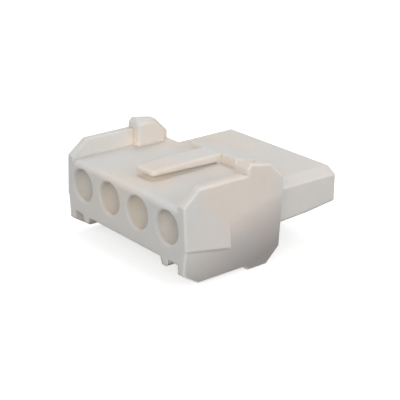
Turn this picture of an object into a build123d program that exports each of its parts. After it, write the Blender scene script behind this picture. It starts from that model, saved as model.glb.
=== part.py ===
from build123d import *
from math import radians, tan
import os

# Four-circuit plug housing for crimped socket contacts, moulded in one piece of natural nylon.
# Frame: X across the circuits, +Y towards the mating nose, +Z up.
# The origin is under the middle of the housing, on the plane that its ears stand on.

# Circuits
circuit_count = 4
circuit_pitch = 5.08
cavity_axis_height = 3.54
wire_bore_diameter = 3.6
wire_bore_depth = 11.8
wire_rim_chamfer = 0.15
shoulder_bore_diameter = 2.1
shoulder_funnel_length = 0.7
shoulder_length = 0.8
socket_bore_diameter = 2.7
socket_rim_chamfer = 0.12

# Wire end of the body
body_side_wall = 0.58
body_step = 0.45
body_length = 13.0
body_front_radius = 0.65
body_under_radius = 0.1

# Mating nose
nose_length = 9.1
nose_side_wall = 0.43
nose_height = 5.6
nose_floor = 0.85
nose_floor_rise = 0.95
nose_key_width = 1.2
nose_key_height = 0.7
nose_under_chamfer = 0.5
nose_tip_radius = 0.3
nose_root = 1.0

# Side ears, which stand above and below the body
ear_proud = 0.69
ear_wall = 1.24
ear_rise = 2.0
ear_drop = 2.2
ear_front_rise = 0.4
ear_front_drop = 0.95
ear_front_run = 2.0
ear_ridge_height = 2.85
ear_upper_flare = 0.2
ear_upper_draft = 3.0
ear_lower_taper = 0.1
ear_lower_draft = 4.0
ear_edge_radius = 0.2
ear_step_length = 4.75
ear_step_rise = 1.1
ear_step_chamfer = 0.45
ear_top_fall = 0.45
ear_top_chamfer = 1.7
foot_step = 0.5
foot_chamfer = 1.7

# Post inside each ear
post_width = 1.1
post_length = 3.8
post_top_length = 1.75
post_fall = 1.25
post_lean = 0.65
post_top_angle = 25.0

# Grip pad at the wire end of each ear
pad_length = 5.85
pad_front_low = 1.75
pad_rear_low = 0.75
pad_edge_radius = 0.15

# Low rib under each outer circuit, at the wire end
rib_inset = 0.45
rib_width = 1.3
rib_height = 0.75
rib_length = 2.4
rib_taper = 0.3

# Latch: a locking barb on the nose, and the release lever that reaches back from it
barb_width = 8.1
barb_lead = 0.8
barb_length = 4.4
barb_rise = 1.15
barb_nose_step = 0.3
barb_root = 1.0
lever_width = 3.0
lever_setback = 2.8
lever_root_gap = 0.25
lever_tip_gap = 0.5
lever_root_reach = 0.5
lever_tip_thickness = 0.5
lever_corner_radius = 0.3
latch_edge_radius = 0.12

# Widths that follow from the circuits
circuit_span = circuit_pitch * (circuit_count - 1)
body_width = circuit_span + wire_bore_diameter + 2 * body_side_wall
half_nose = (circuit_span + socket_bore_diameter) / 2 + nose_side_wall
half_ear = body_width / 2 + ear_proud
ear_inside = half_ear - ear_wall

# Levels above the plane that the ears stand on
underside = ear_drop + foot_step
body_height = nose_height + body_step
body_top = underside + body_height
nose_top = underside + nose_height
cavity_axis = underside + cavity_axis_height
ear_top = body_top + ear_rise
step_top = ear_top + ear_step_rise

# Stations along the housing
total_length = body_length + nose_length
wire_face = -total_length / 2
body_rear = wire_face + body_length
nose_tip = wire_face + total_length
barb_face = body_rear - barb_lead
step_face = body_rear - ear_step_length

# Body block at the wire end
with BuildPart() as body:
    with BuildSketch(Plane.XZ.offset(-wire_face)):
        with Locations((0, underside + body_height / 2)):
            Rectangle(body_width, body_height)
    extrude(amount=-body_length)
    front_edges = body.faces().sort_by(Axis.Y)[0].edges().filter_by(Axis.X).sort_by(Axis.Z)
    fillet(front_edges[-1], radius=body_front_radius)
    under_edges = body.faces().sort_by(Axis.Y)[0].edges().filter_by(Axis.X).sort_by(Axis.Z)
    fillet(under_edges[0], radius=body_under_radius)

# Mating nose, keyed by its bevelled upper corners, with a rising floor
with BuildPart() as nose:
    with BuildSketch(Plane.XZ.offset(-(body_rear - nose_root))):
        with BuildLine():
            Polyline(
                (-half_nose + nose_under_chamfer, underside + nose_floor),
                (half_nose - nose_under_chamfer, underside + nose_floor),
                (half_nose, underside + nose_floor + nose_under_chamfer),
                (half_nose, nose_top - nose_key_height),
                (half_nose - nose_key_width, nose_top),
                (-half_nose + nose_key_width, nose_top),
                (-half_nose, nose_top - nose_key_height),
                (-half_nose, underside + nose_floor + nose_under_chamfer),
                close=True,
            )
        make_face()
    extrude(amount=-(nose_length + nose_root))
    floor_normal = (0, -nose_floor_rise / nose_length, 1)
    split(bisect_by=Plane((0, body_rear, underside + nose_floor), z_dir=floor_normal), keep=Keep.TOP)
    fillet(nose.faces().sort_by(Axis.Y)[-1].edges(), radius=nose_tip_radius)

# Outer faces of the ear at +X: the upper flares to the rear, the lower tapers, and their ridge climbs
ridge_point = (half_ear, wire_face, underside + ear_ridge_height)
upper_normal = (1, -ear_upper_flare / body_length, tan(radians(ear_upper_draft)))
lower_normal = (1, ear_lower_taper / body_length, -tan(radians(ear_lower_draft)))
upper_plane = Plane(ridge_point, z_dir=upper_normal)
lower_plane = Plane(ridge_point, z_dir=lower_normal)

# Side ear at +X in side view, trimmed to its two outer faces
with BuildPart() as ear:
    with BuildSketch(Plane.YZ.offset(ear_inside)):
        with BuildLine():
            Polyline(
                (wire_face, underside - ear_front_drop),
                (wire_face, body_top + ear_front_rise),
                (wire_face + ear_front_run, ear_top),
                (step_face, ear_top),
                (step_face, step_top - ear_step_chamfer),
                (step_face + ear_step_chamfer, step_top),
                (body_rear - ear_top_chamfer, step_top - ear_top_fall),
                (body_rear, step_top - ear_top_fall - ear_top_chamfer),
                (body_rear, foot_chamfer),
                (body_rear - foot_chamfer, 0),
                (step_face + foot_step, 0),
                (step_face, foot_step),
                (wire_face + ear_front_run, foot_step),
                close=True,
            )
        make_face()
    extrude(amount=2 * ear_wall)
    split(bisect_by=upper_plane, keep=Keep.BOTTOM)
    split(bisect_by=lower_plane, keep=Keep.BOTTOM)
    outer_faces = ear.faces().filter_by(lambda face: face.normal_at().X > 0.9)
    fillet(outer_faces.edges(), radius=ear_edge_radius)

# Post inside the ear, its top falling towards the middle of the housing
with BuildPart() as post:
    with BuildSketch(Plane.YZ.offset(ear_inside - post_width)):
        with BuildLine():
            Polyline(
                (step_face, foot_step),
                (step_face, step_top - ear_step_chamfer),
                (step_face + ear_step_chamfer, step_top),
                (step_face + post_top_length, step_top),
                (step_face + post_length - post_lean, step_top - post_fall),
                (step_face + post_length, nose_top),
                (step_face + post_length, foot_chamfer),
                (body_rear - foot_chamfer, 0),
                (step_face + foot_step, 0),
                close=True,
            )
        make_face()
    extrude(amount=post_width)
    fall_normal = (-tan(radians(post_top_angle)), 0, 1)
    split(bisect_by=Plane((ear_inside, step_face, step_top), z_dir=fall_normal), keep=Keep.BOTTOM)

# Rib under the outermost circuit
with BuildPart() as rib:
    rib_middle = circuit_span / 2 - rib_inset
    with BuildSketch(Plane.XZ.offset(-wire_face)):
        with BuildLine():
            Polyline(
                (rib_middle - rib_width / 2, underside + rib_height),
                (rib_middle - rib_width / 2, underside),
                (rib_middle - rib_width / 2 + rib_taper, underside - rib_height),
                (rib_middle + rib_width / 2 - rib_taper, underside - rib_height),
                (rib_middle + rib_width / 2, underside),
                (rib_middle + rib_width / 2, underside + rib_height),
                close=True,
            )
        make_face()
    extrude(amount=-rib_length)

# Grip pad: the upper face of the ear carried on below the ridge
with BuildPart() as pad:
    with BuildSketch(Plane.YZ.offset(ear_inside)):
        with BuildLine():
            Polyline(
                (wire_face, underside + pad_front_low),
                (wire_face, body_top),
                (wire_face + pad_length, body_top),
                (wire_face + pad_length, underside + pad_rear_low),
                close=True,
            )
        make_face()
    extrude(amount=2 * ear_wall)
    split(bisect_by=upper_plane, keep=Keep.BOTTOM)
    pad_face = pad.faces().sort_by(Axis.X)[-1]
    fillet(pad_face.edges(), radius=pad_edge_radius)

# Release lever in side view
with BuildPart() as lever:
    with BuildSketch(Plane.YZ):
        with BuildLine():
            Polyline(
                (barb_face + lever_root_reach, body_top),
                (barb_face - lever_root_reach, body_top),
                (barb_face - lever_root_reach, body_top + lever_root_gap),
                (wire_face + lever_setback, body_top + lever_tip_gap),
                (wire_face + lever_setback, body_top + lever_tip_gap + lever_tip_thickness),
                (barb_face, body_top + barb_rise),
                (barb_face + lever_root_reach, body_top + barb_rise / 2),
                close=True,
            )
        make_face()
    extrude(amount=lever_width / 2, both=True)
    tip_face = lever.faces().sort_by(Axis.Y)[0]
    fillet(tip_face.edges().filter_by(Axis.Z), radius=lever_corner_radius)
    lever_top = lever.faces().filter_by(lambda face: face.normal_at().Z > 0.9).sort_by(Axis.Z)[-1]
    rim_edges = lever_top.edges().filter_by(lambda edge: edge.center().Y < barb_face - lever_root_reach)
    fillet(rim_edges, radius=latch_edge_radius)

# Locking barb in side view
with BuildPart() as barb:
    with BuildSketch(Plane.YZ):
        with BuildLine():
            Polyline(
                (barb_face, nose_top - barb_root),
                (barb_face, body_top + barb_rise),
                (barb_face + barb_length, nose_top + barb_nose_step),
                (barb_face + barb_length, nose_top - barb_root),
                close=True,
            )
        make_face()
    extrude(amount=barb_width / 2, both=True)
    barb_slope = barb.faces().sort_by(Axis.Z)[-1]
    fillet(barb_slope.edges().filter_by(Axis.X, reverse=True), radius=latch_edge_radius)

# Contact cavities: wire bore, funnel, locking shoulder and socket bore on one axis
with BuildPart() as cavity:
    with BuildSketch(Plane.YZ):
        with BuildLine():
            shoulder_start = wire_face + wire_bore_depth + shoulder_funnel_length
            Polyline(
                (wire_face, cavity_axis),
                (wire_face, cavity_axis + wire_bore_diameter / 2 + wire_rim_chamfer),
                (wire_face + wire_rim_chamfer, cavity_axis + wire_bore_diameter / 2),
                (wire_face + wire_bore_depth, cavity_axis + wire_bore_diameter / 2),
                (shoulder_start, cavity_axis + shoulder_bore_diameter / 2),
                (shoulder_start + shoulder_length, cavity_axis + shoulder_bore_diameter / 2),
                (shoulder_start + shoulder_length, cavity_axis + socket_bore_diameter / 2),
                (nose_tip - socket_rim_chamfer, cavity_axis + socket_bore_diameter / 2),
                (nose_tip, cavity_axis + socket_bore_diameter / 2 + socket_rim_chamfer),
                (nose_tip, cavity_axis),
                close=True,
            )
        make_face()
    revolve(axis=Axis((0, 0, cavity_axis), (0, 1, 0)))

# The housing as moulded
with BuildPart() as housing:
    add(body.part)
    add(nose.part)
    for side in (ear.part, pad.part, post.part, rib.part):
        add(side)
        mirror(side, about=Plane.YZ)
    add(lever.part)
    add(barb.part)
    with GridLocations(circuit_pitch, 0, circuit_count, 1):
        add(cavity.part, mode=Mode.SUBTRACT)

housing.part.label = "housing"
os.makedirs("parts", exist_ok=True)
export_step(housing.part, "parts/housing.step")
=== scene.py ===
from math import pi, radians

import bpy
from mathutils import Matrix

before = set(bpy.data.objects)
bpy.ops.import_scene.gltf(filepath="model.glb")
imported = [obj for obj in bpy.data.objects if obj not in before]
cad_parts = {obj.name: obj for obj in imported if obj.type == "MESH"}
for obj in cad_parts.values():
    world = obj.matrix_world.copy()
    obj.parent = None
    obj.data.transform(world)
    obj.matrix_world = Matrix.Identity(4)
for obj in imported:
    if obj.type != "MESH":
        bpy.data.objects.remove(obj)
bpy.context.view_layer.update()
scene = bpy.context.scene
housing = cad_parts["housing"]

WHITE = (1.0, 1.0, 1.0)

# Nylon: the creams of its clouds, the painted shade on the ear skirts, and the painted light that lifts
# corners and deep bores
COOL = (0.645, 0.640, 0.622)
CREAM = (0.670, 0.643, 0.610)
WARM = (0.702, 0.640, 0.582)
SKIRT_PAINTED_SHADE = (0.47, 0.46, 0.475)
NOOK_PAINTED_LIGHT = (1.30, 1.22, 1.12)
DEEP_PAINTED_LIGHT = (1.32, 1.36, 1.38)

# Nylon: noise scales of its marks, and the place in the noise where the clouds begin
CLOUD_SCALE = 90.0
FLOW_SCALE = 900.0
GRAIN_SCALE = 4200.0
CLOUD_SHIFT = (0.024, -0.026, 0.015)

# Nylon: lengths in metres, and the roughness between which the grain varies
EDGE_RADIUS = 0.0004
GRAIN_HEIGHT = 0.00004
NOOK_REACH = 0.006
SCATTER_DEPTH = 0.0006
ROUGHNESS_LOW = 0.48
ROUGHNESS_HIGH = 0.62

# Ear skirts' painted shade: slope of the ridge above them, and heights where the painted shade is full
# and where it ends
RIDGE_SLOPE = 0.31
SKIRT_FULL = 0.0014
SKIRT_END = 0.0078

# Ear skirts' painted shade: a normal's Z where it begins and is full, and the power that picks sideways
# faces
LEAN_BEGIN = -0.02
LEAN_FULL = -0.06
FLANK_FOCUS = 8.0

# Floor: its size and gap under the part, and its glow near the part and far off
FLOOR_SIZE = 2.0
FLOOR_GAP = 0.0001
GLOW_NEAR = 0.6
GLOW_FAR = 1.0
NEAR_REACH = 0.05
FAR_REACH = 0.3

# Light: the fill from all around, and the lamps' size, distance and the height that they aim at
FILL_LEVEL = 0.30
LAMP_SIZE = 0.2
LAMP_DISTANCE = 0.3
LAMP_AIM = 0.005

# Camera at the photograph's viewing angle: place in metres, angles in degrees, lens in millimetres
CAMERA_PLACE = (0.091937, -0.074591, 0.050408)
CAMERA_AZIMUTH = 51.179
CAMERA_ELEVATION = 21.316
CAMERA_ROLL = 0.232
CAMERA_LENS = 102.55
CAMERA_SENSOR = 36.0
CAMERA_CLIP = 0.005

# Places of the colour sockets on a mix node
MIX_FACTOR, MIX_FIRST, MIX_SECOND, MIX_RESULT = 0, 6, 7, 2


def grey(value):
    """A neutral colour."""
    return (value, value, value)


def opaque(colour):
    """The colour with full alpha."""
    return (*colour, 1.0)


def join(tree, value, socket):
    """Links a socket to the input socket, or sets a plain value on it."""
    if isinstance(value, bpy.types.NodeSocket):
        tree.links.new(value, socket)
    else:
        socket.default_value = value


def node(tree, kind, **values):
    """Adds a node and joins values to its inputs by name, with underscores for spaces."""
    made = tree.nodes.new(kind)
    for name, value in values.items():
        join(tree, value, made.inputs[name.replace("_", " ")])
    return made


def calculate(tree, kind, operation, *values):
    """Adds a node that works out one number from the values, in the order of its inputs."""
    made = tree.nodes.new(kind)
    made.operation = operation
    for value, socket in zip(values, made.inputs):
        join(tree, value, socket)
    return made.outputs["Value"]


def ramp(tree, source, stops):
    """A colour ramp fed by source, with (position, colour) stops."""
    made = node(tree, "ShaderNodeValToRGB", Fac=source)
    elements = made.color_ramp.elements
    while len(elements) < len(stops):
        elements.new(1.0)
    for element, (position, colour) in zip(elements, stops):
        element.position = position
        element.color = opaque(colour)
    return made.outputs["Color"]


def multiply(tree, product, *colours):
    """The product of colour sockets."""
    for colour in colours:
        made = tree.nodes.new("ShaderNodeMix")
        made.data_type = "RGBA"
        made.blend_type = "MULTIPLY"
        made.inputs[MIX_FACTOR].default_value = 1.0
        tree.links.new(product, made.inputs[MIX_FIRST])
        tree.links.new(colour, made.inputs[MIX_SECOND])
        product = made.outputs[MIX_RESULT]
    return product


def cream_clouds(tree, place):
    """Clouds of slightly warmer and cooler cream, some millimetres wide."""
    shift = node(tree, "ShaderNodeMapping", Vector=place, Location=CLOUD_SHIFT)
    cloud = node(tree, "ShaderNodeTexNoise", Vector=shift.outputs["Vector"], Scale=CLOUD_SCALE,
                 Detail=2.0, Roughness=0.5)
    return ramp(tree, cloud.outputs["Fac"], [(0.36, COOL), (0.5, CREAM), (0.62, WARM)])


def flow_marks(tree, place):
    """Fine, faintly darker marks left by the flow of the melt."""
    flow = node(tree, "ShaderNodeTexNoise", Vector=place, Scale=FLOW_SCALE,
                Detail=3.0, Roughness=0.6, Distortion=0.8)
    return ramp(tree, flow.outputs["Fac"], [(0.3, grey(0.975)), (0.7, WHITE)])


def nook_painted_light(tree):
    """Painted light in corners and deep places, by ambient occlusion: corners painted warmer and
    lighter, as light caught there comes back warmer, and deep places painted lighter, as thin walls let
    light in.
    """
    nook = node(tree, "ShaderNodeAmbientOcclusion", Distance=NOOK_REACH)
    nook.samples = 8
    return ramp(tree, nook.outputs["AO"], [(0.05, DEEP_PAINTED_LIGHT), (0.34, NOOK_PAINTED_LIGHT), (0.58, WHITE)])


def skirt_painted_shade(tree, where):
    """Painted shade on the thin skirts of the ears, under the ridge: greyer towards the rear foot, on
    sideways faces that lean downward.
    """
    height = calculate(tree, "ShaderNodeVectorMath", "DOT_PRODUCT",
                       where.outputs["Object"], (0.0, -RIDGE_SLOPE, 1.0))
    low = node(tree, "ShaderNodeMapRange", Value=height, From_Min=SKIRT_FULL, From_Max=SKIRT_END,
               To_Min=1.0, To_Max=0.0)
    facing = node(tree, "ShaderNodeSeparateXYZ", Vector=where.outputs["Normal"])
    lean = node(tree, "ShaderNodeMapRange", Value=facing.outputs["Z"], From_Min=LEAN_BEGIN,
                From_Max=LEAN_FULL, To_Min=0.0, To_Max=1.0)
    flank = calculate(tree, "ShaderNodeMath", "POWER", facing.outputs["X"], FLANK_FOCUS)
    shade_amount = low.outputs["Result"]
    for share in (lean.outputs["Result"], flank):
        shade_amount = calculate(tree, "ShaderNodeMath", "MULTIPLY", shade_amount, share)
    return ramp(tree, shade_amount, [(0.0, WHITE), (1.0, SKIRT_PAINTED_SHADE)])


def nylon():
    """Natural nylon: milky and satin, with cloudy flow marks, a fine grain and softly rounded edges."""
    material = bpy.data.materials.new("natural_nylon")
    material.use_nodes = True
    tree = material.node_tree
    where = tree.nodes.new("ShaderNodeTexCoord")
    place = where.outputs["Object"]

    # Base colour: cream clouds times flow marks, times painted light in corners and deep bores, times
    # painted shade on the ear skirts
    colour = multiply(tree, cream_clouds(tree, place), flow_marks(tree, place), nook_painted_light(tree),
                      skirt_painted_shade(tree, where))
    grain = node(tree, "ShaderNodeTexNoise", Vector=place, Scale=GRAIN_SCALE, Detail=2.0, Roughness=0.5)
    satin = ramp(tree, grain.outputs["Fac"], [(0.3, grey(ROUGHNESS_LOW)), (0.7, grey(ROUGHNESS_HIGH))])
    edge = node(tree, "ShaderNodeBevel", Radius=EDGE_RADIUS)
    bump = node(tree, "ShaderNodeBump", Height=grain.outputs["Fac"], Normal=edge.outputs["Normal"],
                Strength=0.12, Distance=GRAIN_HEIGHT)

    shader = tree.nodes["Principled BSDF"]
    tree.links.new(colour, shader.inputs["Base Color"])
    tree.links.new(satin, shader.inputs["Roughness"])
    tree.links.new(bump.outputs["Normal"], shader.inputs["Normal"])
    shader.inputs["Subsurface Weight"].default_value = 1.0
    shader.inputs["Subsurface Radius"].default_value = (1.0, 0.96, 0.9)
    shader.inputs["Subsurface Scale"].default_value = SCATTER_DEPTH
    shader.inputs["IOR"].default_value = 1.53
    shader.inputs["Specular IOR Level"].default_value = 0.35
    return material


def seen(tree):
    """1 for rays that show the surroundings: from the camera, by reflection or through the part."""
    rays = tree.nodes.new("ShaderNodeLightPath")
    total = rays.outputs["Is Camera Ray"]
    for kind in ("Is Glossy Ray", "Is Transmission Ray"):
        step = tree.nodes.new("ShaderNodeMath")
        step.use_clamp = True
        tree.links.new(total, step.inputs[0])
        tree.links.new(rays.outputs[kind], step.inputs[1])
        total = step.outputs["Value"]
    return total


def swap(tree, plain, shown, target):
    """Joins plain to the target socket, and shown where the surroundings are seen."""
    mix = node(tree, "ShaderNodeMixShader", Fac=seen(tree))
    tree.links.new(plain, mix.inputs[1])
    tree.links.new(shown, mix.inputs[2])
    tree.links.new(mix.outputs["Shader"], target)


def paper():
    """Floor card: grey to the part, and white where it is seen, with the shadow left in it."""
    material = bpy.data.materials.new("paper")
    material.use_nodes = True
    tree = material.node_tree
    tree.nodes.remove(tree.nodes["Principled BSDF"])
    card = node(tree, "ShaderNodeBsdfDiffuse", Color=opaque(grey(0.2)))
    sheet = node(tree, "ShaderNodeBsdfDiffuse", Color=opaque(grey(0.8)))
    where = tree.nodes.new("ShaderNodeTexCoord")
    reach = calculate(tree, "ShaderNodeVectorMath", "LENGTH", where.outputs["Object"])
    level = node(tree, "ShaderNodeMapRange", Value=reach, From_Min=NEAR_REACH, From_Max=FAR_REACH,
                 To_Min=GLOW_NEAR, To_Max=GLOW_FAR)
    glow = node(tree, "ShaderNodeEmission", Color=opaque(WHITE), Strength=level.outputs["Result"])
    white = tree.nodes.new("ShaderNodeAddShader")
    tree.links.new(sheet.outputs["BSDF"], white.inputs[0])
    tree.links.new(glow.outputs["Emission"], white.inputs[1])
    surface = tree.nodes["Material Output"].inputs["Surface"]
    swap(tree, card.outputs["BSDF"], white.outputs["Shader"], surface)
    return material


def studio():
    """World: an even fill from all around, white where it is seen."""
    world = bpy.data.worlds.new("studio")
    world.use_nodes = True
    tree = world.node_tree
    fill = tree.nodes["Background"]
    fill.inputs["Color"].default_value = opaque(WHITE)
    fill.inputs["Strength"].default_value = FILL_LEVEL
    back = node(tree, "ShaderNodeBackground", Color=opaque(WHITE), Strength=1.0)
    surface = tree.nodes["World Output"].inputs["Surface"]
    swap(tree, fill.outputs["Background"], back.outputs["Background"], surface)
    return world


def aim(azimuth, elevation):
    """Turns to look from the given side: azimuth 0 is in front of the wire end, 90 on the +X side."""
    turn = Matrix.Rotation(radians(azimuth), 4, "Z")
    return turn @ Matrix.Rotation(pi / 2 - radians(elevation), 4, "X")


def softbox(name, azimuth, elevation, power):
    """A square area lamp turned to the part."""
    lamp = bpy.data.lights.new(name, "AREA")
    lamp.shape = "SQUARE"
    lamp.size = LAMP_SIZE
    lamp.energy = power
    made = bpy.data.objects.new(name, lamp)
    away = Matrix.Translation((0.0, 0.0, LAMP_DISTANCE))
    made.matrix_world = Matrix.Translation((0.0, 0.0, LAMP_AIM)) @ aim(azimuth, elevation) @ away
    scene.collection.objects.link(made)


# The part
housing.data.materials.clear()
housing.data.materials.append(nylon())

# Floor and world
bpy.ops.mesh.primitive_plane_add(size=FLOOR_SIZE, location=(0.0, 0.0, -FLOOR_GAP))
floor = bpy.context.object
floor.name = "floor"
floor.data.materials.append(paper())
scene.world = studio()

# Lamps: azimuth and elevation in degrees, power in watts
softbox("front", 45.0, 20.0, 0.44)
softbox("left", 330.0, 16.0, 0.22)
softbox("right", 112.0, 18.0, 0.36)
softbox("rear_left", 225.0, 65.0, 0.335)

# Camera
camera = bpy.data.objects.new("camera", bpy.data.cameras.new("camera"))
scene.collection.objects.link(camera)
camera.data.sensor_width = CAMERA_SENSOR
camera.data.lens = CAMERA_LENS
camera.data.clip_start = CAMERA_CLIP
roll = Matrix.Rotation(radians(CAMERA_ROLL), 4, "Z")
camera.matrix_world = Matrix.Translation(CAMERA_PLACE) @ aim(CAMERA_AZIMUTH, CAMERA_ELEVATION) @ roll
scene.camera = camera

scene.view_settings.view_transform = "Standard"
